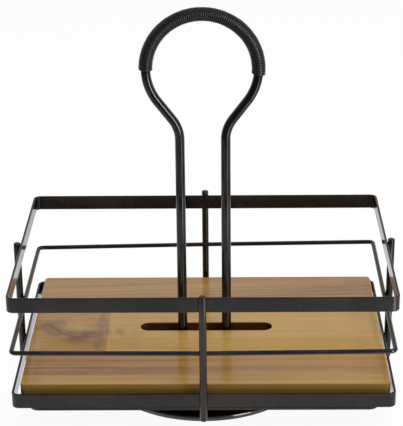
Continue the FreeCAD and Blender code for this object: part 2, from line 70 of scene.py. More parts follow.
camera = {
    "location": (0.01771, -1.23678, 0.66995),
    "heading": -0.898,  # degrees from +Y towards +X
    "pitch": -22.714,
    "roll": -0.624,
    "lens": 134.44,
    "sensor": 36,
}


def placeCamera():
    view = bpy.data.objects.new("camera", bpy.data.cameras.new("camera"))
    scene.collection.objects.link(view)
    view.data.lens = camera["lens"]
    view.data.sensor_width = camera["sensor"]
    view.matrix_world = (Matrix.Translation(camera["location"])
                         @ Matrix.Rotation(math.radians(-camera["heading"]), 4, "Z")
                         @ Matrix.Rotation(math.radians(90 + camera["pitch"]), 4, "X")
                         @ Matrix.Rotation(math.radians(camera["roll"]), 4, "Z"))
    scene.camera = view


placeCamera()
print("camera placed")


# Shader maths: a Signal is a socket, and a Finish is a material that signals are built in

class Signal:
    def __init__(self, finish, socket):
        self.finish = finish
        self.socket = socket

    def __add__(self, other):
        return self.finish.maths("ADD", self, other)

    __radd__ = __add__

    def __sub__(self, other):
        return self.finish.maths("SUBTRACT", self, other)

    def __rsub__(self, other):
        return self.finish.maths("SUBTRACT", other, self)

    def __mul__(self, other):
        return self.finish.maths("MULTIPLY", self, other)

    __rmul__ = __mul__

    def __truediv__(self, other):
        return self.finish.maths("DIVIDE", self, other)

    def __abs__(self):
        return self.finish.maths("ABSOLUTE", self)


class Finish:
    def __init__(self, tree):
        self.tree = tree

    def node(self, kind, settings=None, sockets=None, output=0):
        made = self.tree.nodes.new(kind)  # the colour ramp's settings aren't the node's own
        for name, value in (settings or {}).items():
            if name == "stops":
                self.setStops(made.color_ramp.elements, value)
            elif name == "interpolation":
                made.color_ramp.interpolation = value
            else:
                setattr(made, name, value)
        for name, value in (sockets or {}).items():
            self.feed(made.inputs[name], value)
        return Signal(self, made.outputs[output])

    def setStops(self, elements, stops):
        while len(elements) < len(stops):
            elements.new(1)
        for element, (position, colour) in zip(elements, stops):
            element.position = position
            element.color = colour

    def feed(self, socket, value):
        if isinstance(value, Signal):
            self.tree.links.new(value.socket, socket)
        else:
            socket.default_value = value

    def maths(self, operation, *values):
        return self.node("ShaderNodeMath", {"operation": operation}, dict(enumerate(values)))

    def mix(self, factor, first, second):
        return self.node("ShaderNodeMix", {"data_type": "RGBA"}, {0: factor, 6: first, 7: second}, output=2)

    def smooth(self, value, low, high):
        return self.node("ShaderNodeMapRange", {"interpolation_type": "SMOOTHSTEP"},
                         {"Value": value, "From Min": low, "From Max": high})

    def outputOf(self, kind, name):
        return Signal(self, self.node(kind).socket.node.outputs[name])

    def place(self, scale=(1, 1, 1), shift=(0, 0, 0), source="Object"):
        coordinates = self.outputOf("ShaderNodeTexCoord", source)
        return self.node("ShaderNodeMapping", None,
                         {"Vector": coordinates, "Scale": scale, "Location": shift})

    def noise(self, vector, scale, detail=2, roughness=0.5, distortion=0):
        return self.node("ShaderNodeTexNoise", None, {
            "Vector": vector, "Scale": scale, "Detail": detail, "Roughness": roughness,
            "Distortion": distortion})

    def split(self, vector):
        parts = self.node("ShaderNodeSeparateXYZ", None, {"Vector": vector}).socket.node.outputs
        return [Signal(self, part) for part in parts]

    def join(self, x, y, z):
        return self.node("ShaderNodeCombineXYZ", None, {"X": x, "Y": y, "Z": z})

    def bump(self, height, distance, strength):
        return self.node("ShaderNodeBump", None,
                         {"Height": height, "Distance": distance, "Strength": strength})


class Surface(Finish):
    def __init__(self, name, constants=None):
        self.material = bpy.data.materials.new(name)
        self.material.use_nodes = True
        super().__init__(self.material.node_tree)
        self.shader = self.tree.nodes["Principled BSDF"]
        self.apply(constants or {})

    def apply(self, sockets):
        for name, value in sockets.items():
            self.feed(self.shader.inputs[name], value)


def colour(red, green, blue):
    channels = [value / 255 for value in (red, green, blue)]
    linear = [c / 12.92 if c <= 0.04045 else ((c + 0.055) / 1.055) ** 2.4 for c in channels]
    return (*linear, 1.0)


# Floor, world and lamps

studio = {
    "floorSize": 8.0,
    "floorColour": colour(244, 244, 243),
    "floorShade": colour(238, 238, 237),
    "floorGrain": 60,
    "floorGlow": 0.94,  # how much of the floor the camera sees as plain white
    "paperNear": 0.14,  # mirrored in the object, the white paper ends between these distances from it
    "paperFar": 0.6,
    "paperBack": 0.3,  # but from here back it has no end
    "white": (1.0, 1.0, 1.0, 1.0),
    "dark": (0.07, 0.07, 0.075, 1.0),  # the unlit side of the room
    "ceiling": (0.42, 0.42, 0.43, 1.0),
    "horizonTop": 0.1,  # sine of the elevation where the white starts to dim, and where it ends
    "ceilingStart": 0.62,
    "backdropStart": -0.3,  # how far round the backdrop reaches, from -1 in front to 1 behind
    "backdropEnd": 0.3,
    "backdropTurn": 0.2,  # how much further it comes round on the right
    "worldStrength": 0.6,
}
basket = (0, 0, 0.1)
lamps = [
    {"name": "overhead", "place": (0.05, 0.25, 1.6), "aim": basket, "size": (1.3, 1.3), "power": 18.0,
     "unseen": "visible_glossy"},
    {"name": "front", "place": (0.1, -0.85, 1.5), "aim": basket, "size": (1.1, 0.35), "power": 7.0,
     "unseen": "visible_glossy"},
    {"name": "key", "place": (0.95, -0.75, 1.15), "aim": basket, "size": (0.45, 0.45), "power": 6.0,
     "unseen": "visible_glossy"},
    {"name": "strip", "place": (0.72, -0.86, 0.5), "aim": (0, 0, 0.5), "size": (0.34, 1.0), "power": 14.0,
     "unseen": "visible_diffuse"},  # the long streaks on the rods
    {"name": "low strip", "place": (0.39, -0.40, 0.004), "aim": (0.389, -0.399, 0.1), "size": (0.14, 0.5),
     "power": 0.9, "unseen": "visible_diffuse"},
]


def makeFloor():
    shape = bmesh.new()
    bmesh.ops.create_grid(shape, x_segments=1, y_segments=1, size=studio["floorSize"] / 2)
    mesh = bpy.data.meshes.new("floor")
    shape.to_mesh(mesh)
    shape.free()
    floor = bpy.data.objects.new("floor", mesh)
    scene.collection.objects.link(floor)
    paper = Surface("floorPaper", {"Roughness": 0.9, "Specular IOR Level": 0.1})
    place = paper.place()
    grain = paper.noise(place, studio["floorGrain"], detail=3)
    paper.apply({"Base Color": paper.mix(grain, studio["floorColour"], studio["floorShade"])})
    x, y = paper.split(place)[:2]
    outX = paper.maths("MAXIMUM", abs(x) - cadBox[1].x, 0)
    outY = paper.maths("MAXIMUM", cadBox[0].y - y, 0)
    out = paper.maths("SQRT", outX * outX + outY * outY)
    dimmed = (paper.smooth(out, studio["paperNear"], studio["paperFar"])
              * (1 - paper.smooth(y, 0, studio["paperBack"])))
    mirrored = paper.outputOf("ShaderNodeLightPath", "Is Glossy Ray")
    seen = paper.outputOf("ShaderNodeLightPath", "Is Camera Ray")
    glow = paper.node("ShaderNodeEmission", None, {
        "Color": paper.mix(mirrored * dimmed, studio["white"], studio["dark"]), "Strength": 1.0})
    share = paper.maths("MAXIMUM", seen * studio["floorGlow"], mirrored)
    blend = paper.node("ShaderNodeMixShader", None,
                       {0: share, 1: Signal(paper, paper.shader.outputs[0]), 2: glow})
    paper.tree.links.new(blend.socket, paper.tree.nodes["Material Output"].inputs["Surface"])
    mesh.materials.append(paper.material)


def makeWorld():
    # white behind and dark in front, as mirrored in the object; plain white to the camera
    world = bpy.data.worlds.new("studio")
    world.use_nodes = True
    scene.world = world
    sky = Finish(world.node_tree)
    background = world.node_tree.nodes["Background"]
    x, y, z = sky.split(sky.place(source="Generated"))
    backdrop = sky.smooth(y + x * studio["backdropTurn"], studio["backdropStart"], studio["backdropEnd"])
    rise = sky.smooth(z, studio["horizonTop"], studio["ceilingStart"])
    room = sky.mix(rise, sky.mix(backdrop, studio["dark"], studio["white"]), studio["ceiling"])
    seen = sky.maths("MAXIMUM", sky.outputOf("ShaderNodeLightPath", "Is Camera Ray"),
                     sky.outputOf("ShaderNodeLightPath", "Is Transmission Ray"))
    sky.feed(background.inputs["Color"], sky.mix(seen, room, studio["white"]))
    plain = sky.maths("MAXIMUM", seen, sky.outputOf("ShaderNodeLightPath", "Is Glossy Ray"))
    sky.feed(background.inputs["Strength"], studio["worldStrength"] + plain * (1 - studio["worldStrength"]))


def makeLamps():
    for lamp in lamps:
        light = bpy.data.lights.new(lamp["name"], "AREA")
        light.shape = "RECTANGLE"
        light.size, light.size_y = lamp["size"]
        light.energy = lamp["power"]
        source = bpy.data.objects.new(lamp["name"], light)
        scene.collection.objects.link(source)
        source.location = lamp["place"]
        aim = Vector(lamp["aim"]) - source.location
        source.rotation_euler = aim.to_track_quat("-Z", "Y").to_euler()
        source.visible_camera = False
        setattr(source, lamp["unseen"], False)


makeFloor()
makeWorld()
makeLamps()
print("studio lit")


# Finishes

handle = {"rod": 8.0 * mm, "loop": 46.0 * mm, "neckAngle": 37.0, "neckBend": 29.0 * mm,
          "legSpacing": 38.0 * mm, "segments": 40, "legPieces": 10, "neckPieces": 3, "bendSteps": 14,
          "loopSteps": 84}


def handleCentre():
    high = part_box("handle_rod")[1]
    return Vector((0, 0, high.z - handle["rod"] / 2 - handle["loop"]))


paint = {
    "black": colour(15, 14, 13),
    "brown": colour(44, 33, 25),
    "worn": colour(88, 70, 54),
    "brownShare": 0.6,
    "wornShare": 0.55,
    "cloudScale": 17,  # per metre, as the next three
    "rubScale": 140,
    "peelScale": 520,
    "dustScale": 1900,
    "topFacing": (0.3, 0.9),  # where it starts to show and where it shows fully, as the next three
    "edgeTurn": (0.02, 0.2),
    "rubbed": (0.5, 0.66),
    "patina": (0.46, 0.6),
    "patinaRub": 0.3,  # what is left of the patina follows the clouds
    "frontUprightPatina": 0.08,
    "gloss": 0.11,
    "patinaRough": 0.07,
    "dustRough": 0.05,
    "topRough": 0.2,
    "dustBump": 0.3,  # what is left of the bumps is orange peel
    "bump": 0.4,
    "peelDepth": 0.02 * mm,
    "edgeRadius": 0.5 * mm,
    "frontUprightHalf": 4 * mm,  # browner round the front upright, fading out sideways and backwards
    "frontUprightFade": 60 * mm,
    "frontUprightDeep": 12 * mm,
}


def framePaint():
    finish = Surface("framePaint", {"IOR": 1.43})
    place = finish.place()
    x, y = finish.split(place)[:2]
    cloud = finish.noise(place, paint["cloudScale"], detail=4, roughness=0.6)
    rub = finish.noise(place, paint["rubScale"], detail=5, roughness=0.7)
    peel = finish.noise(place, paint["peelScale"], detail=2)
    dust = finish.noise(place, paint["dustScale"], detail=2)
    flat = finish.outputOf("ShaderNodeNewGeometry", "Normal")
    facingUp = finish.smooth(finish.split(flat)[2], *paint["topFacing"])
    rounded = finish.node("ShaderNodeBevel", {"samples": 4}, {"Radius": paint["edgeRadius"]})
    turned = finish.node("ShaderNodeVectorMath", {"operation": "DOT_PRODUCT"},
                         {0: rounded, 1: flat}, output=1)  # under 1 near an edge
    wear = finish.smooth(1 - turned, *paint["edgeTurn"]) * finish.smooth(rub, *paint["rubbed"])
    nearFrontUpright = ((1 - finish.smooth(abs(x), paint["frontUprightHalf"], paint["frontUprightFade"]))
               * (1 - finish.smooth(y, cadBox[0].y, cadBox[0].y + paint["frontUprightDeep"])))
    mottled = cloud * (1 - paint["patinaRub"]) + rub * paint["patinaRub"]
    patina = finish.smooth(mottled + nearFrontUpright * paint["frontUprightPatina"], *paint["patina"])
    brown = patina * (paint["brownShare"] + nearFrontUpright * (1 - paint["brownShare"]))
    base = finish.mix(brown, paint["black"], paint["brown"])
    grain = peel * (1 - paint["dustBump"]) + dust * paint["dustBump"]
    finish.apply({
        "Base Color": finish.mix(wear * paint["wornShare"], base, paint["worn"]),
        "Roughness": (paint["gloss"] + paint["patinaRough"] * patina + paint["dustRough"] * dust
                      + paint["topRough"] * facingUp),
        "Normal": finish.bump(grain, paint["peelDepth"], paint["bump"]),
    })
    return finish.material


# places and sizes on the board are in millimetres
wood = {
    "light": colour(175, 138, 72),
    "mid": colour(150, 111, 56),
    "dark": colour(84, 54, 24),
    "red": colour(138, 86, 37),
    "figure": colour(84, 54, 28),
    # the sides' darker olive is partly painted shade, as they get less light than the top, and partly the
    # bare sides' own tone
    "side": colour(122, 86, 16),
    # the slot's wall is painted this dark brown as the shade in its recess
    "slotShade": colour(66, 27, 4),
    "glue": colour(82, 54, 24),
    # each row of staves, front to back: its front edge, how dark and how red it is, where in the log it
    # was cut, and how much it pales towards the right
    "rows": [
        {"from": -103.5, "dark": 0.26, "red": 0.12, "cut": 0.15, "pale": 0.00},
        {"from": -86.0, "dark": 0.34, "red": 0.85, "cut": 0.62, "pale": 1.25},
        {"from": -49.0, "dark": 0.04, "red": 0.02, "cut": 0.40, "pale": 0.45},
        {"from": 44.0, "dark": 0.45, "red": 0.30, "cut": 0.83, "pale": 0.05},
    ],
    "span": 207.0,
    "joint": -83.3,  # where the middle row's left stave ends
    "jointDark": 0.85,
    "jointCut": 0.31,
    "jointLine": (0.12, 0.45),  # its glue line's half width and where it has faded out, as the next
    "glueLine": (0.12, 0.4),
    "backSlant": 0.06,  # how steeply the back row's grain climbs
    "backRed": 0.3,
    "backReddens": (-20, 110),
    "pales": (-110, 80),
    # the log: how far apart two cuts lie in it, how deep its pith runs, its taper and how it sways
    "log": {"spread": 170, "deep": 14, "deeper": 22, "taper": 0.12, "straight": 0.45, "swayAcross": 30,
            "swayDown": 10, "ring": 5.5, "wobble": 1.2, "lateFrom": 0.3, "lateTo": 0.93},
    # the knot's brown figure curls round a pale crown; the patches beside it: middle, half size and strength
    "knot": {"at": (-111, 2), "size": (24, 21), "depth": 0.95, "ring": (0.2, 0.9, 1.8), "slant": 0.5,
             "behind": (-0.6, 0.8), "fainter": 0.85, "crown": 0.25, "crownFades": (0.2, 0.8),
             "swirlScale": 0.05, "driftScale": 0.028, "swirl": 20, "curlOut": 3, "curlRound": 1.4,
             "curls": (0.38, 0.6), "lines": 0.4, "patchSwirl": 14, "patchDrift": 18,
             "patchFades": (0.05, 1.3)},
    "figurePatches": [
        {"at": (-89, -4), "size": (6.5, 46), "depth": 0.6},
        {"at": (-98, -14), "size": (7, 9), "depth": 0.8},
        {"at": (-71, -9), "size": (7, 9), "depth": 0.5},
        {"at": (-76, -25), "size": (6, 5), "depth": 0.3},
        {"at": (-70, -6), "size": (24, 44), "depth": 0.2},
    ],
    "slotCentre": (1.4, 1.1),
    "slotHalf": (57.2, 7.6),
    "slotEdge": 0.4,
    # how finely each noise runs along the stave, across it, and down into it or from cut to cut
    "noises": {
        "sway": {"along": 0.006, "across": 0.012, "down": 9, "detail": 2},
        "wobble": {"along": 0.012, "across": 0.07, "down": 0.09, "detail": 3},
        "fibre": {"along": 0.03, "across": 1.5, "down": 1.5, "detail": 4, "roughness": 0.65},
        "streak": {"along": 0.0028, "across": 0.3, "down": 0.3, "detail": 4, "roughness": 0.65},
        "pore": {"along": 0.22, "across": 4.2, "down": 4.2, "detail": 1},
        "cloud": {"along": 0.014, "across": 0.03, "down": 5, "detail": 3},
        "fleck": {"along": 0.11, "across": 0.45, "down": 7, "detail": 2},
        "bloom": {"along": 0.035, "across": 0.09, "down": 3, "detail": 3},
    },
    "streakShift": 100,  # how far apart two cuts' streaks are taken
    # between which values each noise, or the way that a face looks, starts to show and shows fully
    "shows": {"fibre": (0.55, 0.8), "streak": (0.36, 0.7), "line": (0.47, 0.61), "pore": (0.66, 0.74),
              "cloud": (0.45, 0.75), "fleck": (0.6, 0.74), "bloom": (0.48, 0.7), "top": (0.5, 0.95),
              "end": (0.6, 0.95), "wall": (0.5, 0.9)},
    # how strongly each covers what lies under it
    "share": {"streak": 0.25, "red": 0.45, "redStreak": 0.8, "late": 0.02, "lateDark": 0.2, "cloud": 0.12,
              "line": 0.06, "redLine": 0.75, "fleck": 0.16, "bloom": 0.12, "fibre": 0.25, "pore": 0.3,
              "pale": 0.3, "glue": 0.35, "end": 0.45, "side": 0.6, "slotShade": 0.92},
    "rough": {"varnish": 0.13, "fibre": 0.07, "pore": 0.15, "bare": 0.35},
    "varnish": 0.7,
    "poreDent": 0.3,  # against the fibres' height
    "glueDent": 0.2,
    "fibreDepth": 0.13 * mm,
    "bump": 0.8,
}


def drawnOut(finish, name, along, across, down):
    kind = wood["noises"][name]
    vector = finish.join(along * kind["along"], across * kind["across"], down * kind["down"])
    return finish.noise(vector, 1, kind["detail"], kind.get("roughness", 0.5))


def staveValues(finish, x, y):
    # a stepped ramp across the board holds each row's values
    rows = wood["rows"]
    front = rows[0]["from"]
    stops = [((row["from"] - front) / wood["span"], (row["dark"], row["red"], row["cut"], row["pale"]))
             for row in rows]
    ramp = finish.node("ShaderNodeValToRGB", {"stops": stops, "interpolation": "CONSTANT"},
                       {"Fac": (y - front) / wood["span"]})
    pale = Signal(finish, ramp.socket.node.outputs["Alpha"])
    parts = finish.node("ShaderNodeSeparateColor", None, {"Color": ramp}).socket.node.outputs
    dark, red, cut = (Signal(finish, part) for part in parts)
    backRow = finish.maths("GREATER_THAN", y, rows[3]["from"])
    middleRow = finish.maths("GREATER_THAN", y, rows[2]["from"]) * (1 - backRow)
    leftStave = middleRow * finish.maths("LESS_THAN", x, wood["joint"])
    dark = dark + leftStave * wood["jointDark"]
    cut = cut + leftStave * wood["jointCut"]
    red = red + backRow * finish.smooth(x, *wood["backReddens"]) * wood["backRed"]
    lie = y - backRow * x * wood["backSlant"]  # across the grain
    return dark, red, cut, pale, lie, middleRow


def lateWood(finish, x, y, z, lie, cut):
    # growth rings: each stave has its pith somewhere else, and the log tapers along it
    log = wood["log"]
    sway = drawnOut(finish, "sway", x, y, cut) - 0.5
    across = lie + (cut - 0.5) * log["spread"] + sway * log["swayAcross"]
    taper = x * (cut - log["straight"]) * log["taper"]
    below = z + log["deep"] + cut * log["deeper"] + taper + sway * log["swayDown"]
    distance = finish.maths("SQRT", across * across + below * below)
    wobble = drawnOut(finish, "wobble", x, y, z)
    ring = finish.maths("FRACT", distance / log["ring"] + wobble * log["wobble"])
    return (finish.smooth(ring, log["lateFrom"], log["lateTo"])
            * (1 - finish.smooth(ring, log["lateTo"], 1.0)))


def knotFigure(finish, place, x, y):
    # a crescent drawn in lines round the knot's crown, and the patches beside it
    knot = wood["knot"]
    swirl = finish.noise(place, knot["swirlScale"], detail=4, distortion=0.8) - 0.5
    drift = finish.noise(place, knot["driftScale"], detail=2) - 0.5
    knotX = (x - knot["at"][0] + swirl * knot["swirl"]) / knot["size"][0]
    knotY = (y - knot["at"][1] + drift * knot["swirl"]) / knot["size"][1]
    away = finish.maths("SQRT", knotX * knotX + knotY * knotY)
    turned = finish.join(away * knot["curlOut"], knotX * knot["curlRound"], knotY * knot["curlRound"])
    curls = finish.noise(turned, 1, detail=5, roughness=0.65, distortion=0.8)
    front = 1 - finish.smooth(knotY + knotX * knot["slant"], *knot["behind"]) * knot["fainter"]
    inner, peak, outer = knot["ring"]
    ringed = finish.smooth(away, inner, peak) * (1 - finish.smooth(away, peak, outer))
    figure = ringed * front * knot["depth"]
    for patch in wood["figurePatches"]:
        offX = (x - patch["at"][0] + swirl * knot["patchSwirl"]) / patch["size"][0]
        offY = (y - patch["at"][1] + drift * knot["patchDrift"]) / patch["size"][1]
        within = 1 - finish.smooth(offX * offX + offY * offY, *knot["patchFades"])
        figure = finish.maths("MAXIMUM", within * patch["depth"], figure)
    figure = figure * (1 - knot["lines"] + finish.smooth(curls, *knot["curls"]) * knot["lines"])
    crown = (1 - finish.smooth(away, *knot["crownFades"])) * knot["crown"]
    return figure, crown


def glueLines(finish, x, y, middleRow):
    glue = (1 - finish.smooth(abs(x - wood["joint"]), *wood["jointLine"])) * middleRow
    for row in wood["rows"][1:]:
        line = 1 - finish.smooth(abs(y - row["from"]), *wood["glueLine"])
        glue = finish.maths("MAXIMUM", glue, line)
    return glue


def slotWall(finish, x, y, facingZ):
    edge = wood["slotEdge"]
    offX = abs(x - wood["slotCentre"][0])
    offY = abs(y - wood["slotCentre"][1])
    halfX, halfY = wood["slotHalf"]
    return ((1 - finish.smooth(offX, halfX, halfX + edge)) * (1 - finish.smooth(offY, halfY, halfY + edge))
            * (1 - finish.smooth(facingZ, *wood["shows"]["wall"])))


def boardWood():
    finish = Surface("boardWood", {"IOR": 1.3, "Coat IOR": 1.5, "Coat Roughness": 0.12})
    shows, share, rough = wood["shows"], wood["share"], wood["rough"]
    place = finish.place(scale=inMillimetres)
    x, y, z = finish.split(place)
    dark, red, cut, pale, lie, middleRow = staveValues(finish, x, y)
    late = lateWood(finish, x, y, z, lie, cut)
    figure, crown = knotFigure(finish, place, x, y)
    glue = glueLines(finish, x, y, middleRow)

    # fibres, pores and slow clouds, all drawn out along the stave
    fibre = drawnOut(finish, "fibre", x, lie, z)
    streak = drawnOut(finish, "streak", x, lie + cut * wood["streakShift"], z)
    pores = finish.smooth(drawnOut(finish, "pore", x, lie, z), *shows["pore"])
    clouds = finish.smooth(drawnOut(finish, "cloud", x, y, cut), *shows["cloud"])
    fleck = finish.smooth(drawnOut(finish, "fleck", x, lie, cut), *shows["fleck"])
    bloom = finish.smooth(drawnOut(finish, "bloom", x, lie, cut), *shows["bloom"])

    # from the stave's own colour to what lies on it
    streaks = finish.smooth(streak, *shows["streak"])
    tone = finish.mix(streaks * share["streak"] + dark * (1 - share["streak"]), wood["light"], wood["mid"])
    tone = finish.mix(red * (share["red"] + share["redStreak"] * streak), tone, wood["red"])
    rings = late * (share["late"] + share["lateDark"] * dark)
    tone = finish.mix(rings + clouds * share["cloud"], tone, wood["dark"])
    lines = finish.smooth(streak, *shows["line"])
    tone = finish.mix(lines * (red * share["redLine"] + share["line"]), tone, wood["dark"])
    mottle = finish.mix(fleck, wood["light"], wood["dark"])
    tone = finish.mix(fleck * share["fleck"] + crown + bloom * share["bloom"], tone, mottle)
    fibres = finish.smooth(fibre, *shows["fibre"])
    tone = finish.mix(fibres * share["fibre"] + pores * share["pore"], tone, wood["dark"])
    tone = finish.mix(pale * finish.smooth(x, *wood["pales"]) * share["pale"], tone, wood["light"])
    tone = finish.mix(figure, tone, wood["figure"])
    tone = finish.mix(glue * share["glue"], tone, wood["glue"])

    # end grain, the sides with part painted shade, and painted shade on the slot's wall; only the top is
    # varnished
    facingX, _, facingZ = finish.split(finish.outputOf("ShaderNodeNewGeometry", "Normal"))
    top = finish.smooth(facingZ, *shows["top"])
    tone = finish.mix(finish.smooth(abs(facingX), *shows["end"]) * share["end"], tone, wood["dark"])
    # painted shade: the sides turn darker olive, partly their bare wood's own tone
    tone = finish.mix((1 - top) * share["side"], tone, wood["side"])
    # painted shade down the slot's wall
    tone = finish.mix(slotWall(finish, x, y, facingZ) * share["slotShade"], tone, wood["slotShade"])

    height = fibre - pores * wood["poreDent"] - glue * wood["glueDent"]
    finish.apply({
        "Base Color": tone,
        "Roughness": (rough["varnish"] + rough["fibre"] * fibre + rough["pore"] * pores
                      + rough["bare"] * (1 - top)),
        "Coat Weight": wood["varnish"] * top,
        "Normal": finish.bump(height, wood["fibreDepth"], wood["bump"]),
    })
    print("wood:", len(finish.tree.nodes), "nodes")
    return finish.material


# the threads run round the rod, so they are drawn finely along the loop and long across it
cord = {
    "dark": colour(7, 7, 7),
    "light": colour(34, 33, 34),
    "threadAlong": 5,  # per millimetre, as the next four
    "threadAcross": 0.5,
    "threadOut": 0.5,
    "grainScale": 2.4,
    "cloudScale": 0.045,
    "threadShows": (0.35, 0.75),
    "cloudShows": (0.4, 0.7),
    "threadShare": 0.35,  # how much each fades the black
    "cloudShare": 0.3,
    "grainShare": 0.3,
    "grainMiddle": 0.4,
    "gloss": 0.2,
    "grainRough": 0.2,
    "threadRough": 0.1,
    "grainBump": 0.4,  # what is left of the bumps is threads
    "bump": 0.4,
    "depth": 0.08 * mm,
}


def gripCord():
    finish = Surface("gripCord", {"IOR": 1.42, "Sheen Weight": 0.04, "Sheen Roughness": 0.5})
    centre = handleCentre() / mm
    place = finish.place(scale=inMillimetres, shift=tuple(-centre))
    x, y, z = finish.split(place)
    along = finish.maths("ARCTAN2", z, x) * (handle["loop"] / mm)
    out = finish.maths("SQRT", x * x + z * z)
    drawn = finish.join(along * cord["threadAlong"], y * cord["threadAcross"], out * cord["threadOut"])
    thread = finish.noise(drawn, 1, detail=3, roughness=0.6)
    grain = finish.noise(place, cord["grainScale"], detail=4, roughness=0.65)
    cloud = finish.noise(place, cord["cloudScale"], detail=3)
    faded = (cord["threadShare"] * finish.smooth(thread, *cord["threadShows"])
             + cord["cloudShare"] * finish.smooth(cloud, *cord["cloudShows"])
             + cord["grainShare"] * (grain - cord["grainMiddle"]))
    height = thread * (1 - cord["grainBump"]) + grain * cord["grainBump"]
    finish.apply({
        "Base Color": finish.mix(faded, cord["dark"], cord["light"]),
        "Roughness": cord["gloss"] + cord["grainRough"] * grain + cord["threadRough"] * thread,
        "Normal": finish.bump(height, cord["depth"], cord["bump"]),
    })
    return finish.material


enamel = {
    "black": colour(14, 14, 14),
    "dust": colour(40, 39, 37),
    "cloudScale": 20,  # per metre, as the next two
    "scuffScale": 260,
    "peelScale": 330,
    "scuffStretch": (1, 9, 9),
    "cloudShows": (0.45, 0.75),
    "scuffShows": (0.62, 0.72),
    "dustShare": 0.3,
    "scratchShare": 0.3,
    "gloss": 0.12,
    "cloudRough": 0.1,
    "scratchRough": 0.2,
    "coat": 0.4,
    "cloudCoat": 0.3,
    "peelDepth": 0.04 * mm,
    "bump": 0.4,
}


def footEnamel():
    finish = Surface("footEnamel", {"IOR": 1.52, "Coat Roughness": 0.05})
    place = finish.place()
    cloud = finish.noise(place, enamel["cloudScale"], detail=4)
    scuff = finish.noise(finish.place(scale=enamel["scuffStretch"]), enamel["scuffScale"], detail=4,
                         roughness=0.7)
    peel = finish.noise(place, enamel["peelScale"], detail=1)
    dusty = finish.smooth(cloud, *enamel["cloudShows"])
    scratches = finish.smooth(scuff, *enamel["scuffShows"])
    finish.apply({
        "Base Color": finish.mix(dusty * enamel["dustShare"] + scratches * enamel["scratchShare"],
                                 enamel["black"], enamel["dust"]),
        "Roughness": enamel["gloss"] + enamel["cloudRough"] * cloud + enamel["scratchRough"] * scratches,
        "Coat Weight": enamel["coat"] + enamel["cloudCoat"] * cloud,
        "Normal": finish.bump(peel, enamel["peelDepth"], enamel["bump"]),
    })
    return finish.material


metalGrain = {
    "ringScale": 3,  # per millimetre, as the next two
    "stainScale": 0.12,
    "gritScale": 2.4,
    "stainShows": (0.42, 0.72),
    "stainShare": 0.8,
    "gritShare": 0.2,
    "stainRough": 0.14,
    "gritRough": 0.08,
    "ringRough": 0.1,
    "gritBump": 0.3,
    "depth": 0.03 * mm,
    "bump": 0.6,
}


def metal(name, bright, dull, roughness, turned=0.0):
    # turned is how strongly a lathe's rings show
    finish = Surface(name, {"Metallic": 1.0})
    place = finish.place(scale=inMillimetres)
    x, y, z = finish.split(place)
    radius = finish.maths("SQRT", x * x + y * y)
    rings = finish.noise(finish.join(radius * metalGrain["ringScale"], z * metalGrain["ringScale"], 0), 1,
                         detail=2)
    stain = finish.noise(place, metalGrain["stainScale"], detail=4)
    grit = finish.noise(place, metalGrain["gritScale"], detail=3)
    stained = finish.smooth(stain, *metalGrain["stainShows"])
    finish.apply({
        "Base Color": finish.mix(stained * metalGrain["stainShare"] + grit * metalGrain["gritShare"],
                                 bright, dull),
        "Roughness": (roughness + metalGrain["stainRough"] * stain + metalGrain["gritRough"] * grit
                      + metalGrain["ringRough"] * turned * rings),
        "Normal": finish.bump(rings * turned + grit * metalGrain["gritBump"], metalGrain["depth"],
                              metalGrain["bump"]),
    })
    return finish.material


rubber = {
    "black": colour(24, 24, 24),
    "dust": colour(52, 51, 49),
    "grainScale": 1400,  # per metre, as the next
    "dustScale": 160,
    "dustShows": (0.45, 0.7),
    "dustShare": 0.5,
    "matt": 0.7,
    "grainRough": 0.2,
    "grainDepth": 0.08 * mm,
    "bump": 0.5,
}


def padRubber():
    finish = Surface("padRubber")
    place = finish.place()
    grain = finish.noise(place, rubber["grainScale"], detail=3)
    dust = finish.noise(place, rubber["dustScale"], detail=4)
    dusty = finish.smooth(dust, *rubber["dustShows"])
    finish.apply({
        "Base Color": finish.mix(dusty * rubber["dustShare"], rubber["black"], rubber["dust"]),
        "Roughness": rubber["matt"] + rubber["grainRough"] * grain,
        "Normal": finish.bump(grain, rubber["grainDepth"], rubber["bump"]),
    })
    return finish.material


finishes = {
    "frame_paint": framePaint(),
    "grip_cord": gripCord(),
    "board_wood": boardWood(),
    "foot_enamel": footEnamel(),
    "race_steel": metal("raceSteel", colour(196, 197, 196), colour(150, 149, 142), 0.3, turned=0.8),
    "cage_brass": metal("cageBrass", colour(201, 172, 104), colour(150, 118, 62), 0.28),
    "ball_steel": metal("ballSteel", colour(214, 215, 216), colour(186, 187, 188), 0.06),
    "fastener_steel": metal("fastenerSteel", colour(186, 187, 188), colour(140, 139, 134), 0.32, turned=0.4),
    "pad_rubber": padRubber(),
}
print("finishes made:", ", ".join(finishes))


# New pieces

def slotOf(node):
    parts = frame["record"]["subparts"]
    return next(part["material_slot"] for part in parts if part["node"] == node)


def bodyOf(node):
    bodies = frame["record"]["behaviour"]["bodies"]
    return next(body for body, members in bodies.items() if node in members)


mergeDistance = 0.0005 * mm
steep = math.radians(50)  # edges that turn more than this are corners


def finishPiece(name, shape, node, sharp=35, stands=True):
    # merges, turns the faces outwards, shades smooth between the sharp edges and stands for the node
    bmesh.ops.remove_doubles(shape, verts=shape.verts, dist=mergeDistance)
    bmesh.ops.recalc_face_normals(shape, faces=shape.faces)
    for face in shape.faces:
        face.smooth = True
    for edge in shape.edges:
        edge.smooth = edge.calc_face_angle(0) < math.radians(sharp)
    mesh = bpy.data.meshes.new(name)
    shape.to_mesh(mesh)
    shape.free()
    piece = bpy.data.objects.new(name, mesh)
    scene.collection.objects.link(piece)
    slot = slotOf(node)
    mesh.materials.append(finishes[slot])
    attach(piece, bodyOf(node))
    if stands:
        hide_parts(node)
    return piece


